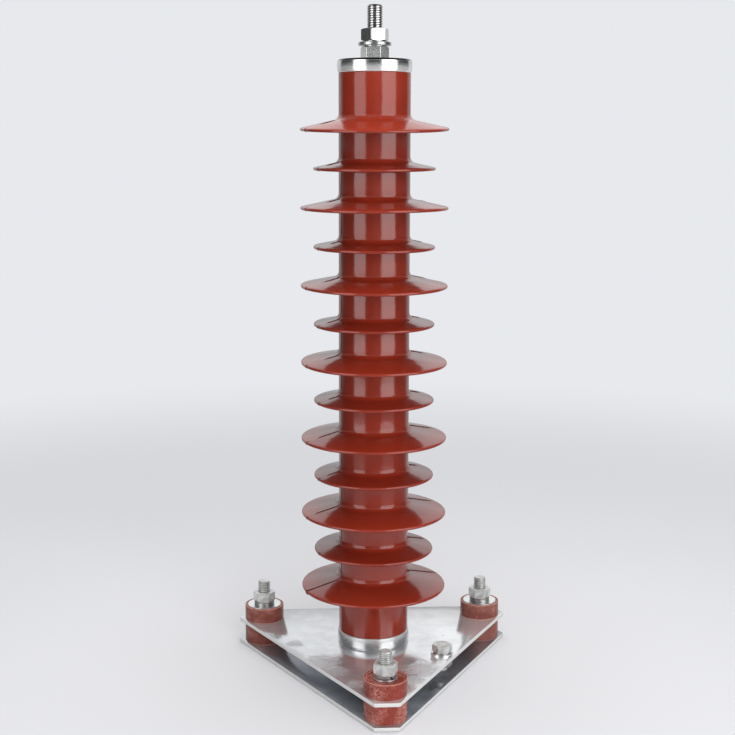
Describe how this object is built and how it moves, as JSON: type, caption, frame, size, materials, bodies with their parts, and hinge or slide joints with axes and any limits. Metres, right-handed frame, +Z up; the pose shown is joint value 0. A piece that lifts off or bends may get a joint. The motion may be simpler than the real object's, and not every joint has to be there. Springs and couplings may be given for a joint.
{
  "type": "surge arrester",
  "caption": "Silicone-housed overvoltage arrester column with alternating sheds, a threaded line terminal on top and a triangular insulated base with an earth bolt.",
  "frame": {"origin": "on the column's axis, in the plane of the lower plate's underside", "axes": "+Z up along the column, -Y towards the cut corner that faces the viewer, +X to the right as seen from there"},
  "size_m": [0.224, 0.1939, 0.5206],
  "materials": {
    "housing_silicone": "semi-gloss moulded silicone, brick red",
    "electrode_metal": "bright plated",
    "terminal_steel": "bright plated",
    "plate_metal": "glossy zinc-coated sheet",
    "base_fastener": "satin zinc",
    "washer_metal": "bright zinc",
    "bush_resin": "moulded fibre-filled resin, red-brown",
    "tube_glass_fibre": "wound glass-fibre and epoxy",
    "varistor_ceramic": "sintered zinc oxide",
    "spring_steel": "oiled spring steel"
  },
  "bodies": {
    "root": {"lower_plate": "plate_metal", "upper_plate": "plate_metal", "base_stud_front": "base_fastener", "base_stud_right": "base_fastener", "base_stud_left": "base_fastener", "lower_bush_front": "bush_resin", "lower_bush_right": "bush_resin", "lower_bush_left": "bush_resin", "upper_bush_front": "bush_resin", "upper_bush_right": "bush_resin", "upper_bush_left": "bush_resin", "base_flat_washer_front": "washer_metal", "base_flat_washer_right": "washer_metal", "base_flat_washer_left": "washer_metal", "base_spring_washer_front": "base_fastener", "base_spring_washer_right": "base_fastener", "base_spring_washer_left": "base_fastener", "base_nut_front": "base_fastener", "base_nut_right": "base_fastener", "base_nut_left": "base_fastener", "earth_bolt": "base_fastener", "earth_spring_washer": "base_fastener", "earth_flat_washer": "washer_metal", "earth_nut": "base_fastener", "column_screw": "base_fastener", "column_spring_washer": "base_fastener", "bottom_electrode": "electrode_metal", "glass_fibre_tube": "tube_glass_fibre", "lower_contact_disc": "electrode_metal", "varistor_block_1": "varistor_ceramic", "varistor_block_2": "varistor_ceramic", "varistor_block_3": "varistor_ceramic", "varistor_block_4": "varistor_ceramic", "varistor_block_5": "varistor_ceramic", "varistor_block_6": "varistor_ceramic", "varistor_block_7": "varistor_ceramic", "varistor_block_8": "varistor_ceramic", "varistor_block_9": "varistor_ceramic", "varistor_block_10": "varistor_ceramic", "varistor_block_11": "varistor_ceramic", "varistor_block_12": "varistor_ceramic", "varistor_block_13": "varistor_ceramic", "upper_contact_disc": "electrode_metal", "disc_spring_1": "spring_steel", "disc_spring_2": "spring_steel", "disc_spring_3": "spring_steel", "disc_spring_4": "spring_steel", "top_electrode": "electrode_metal", "silicone_housing": "housing_silicone", "line_stud": "terminal_steel", "line_lower_nut": "terminal_steel", "line_flat_washer": "terminal_steel", "line_upper_nut": "terminal_steel"}
  },
  "joints": []
}
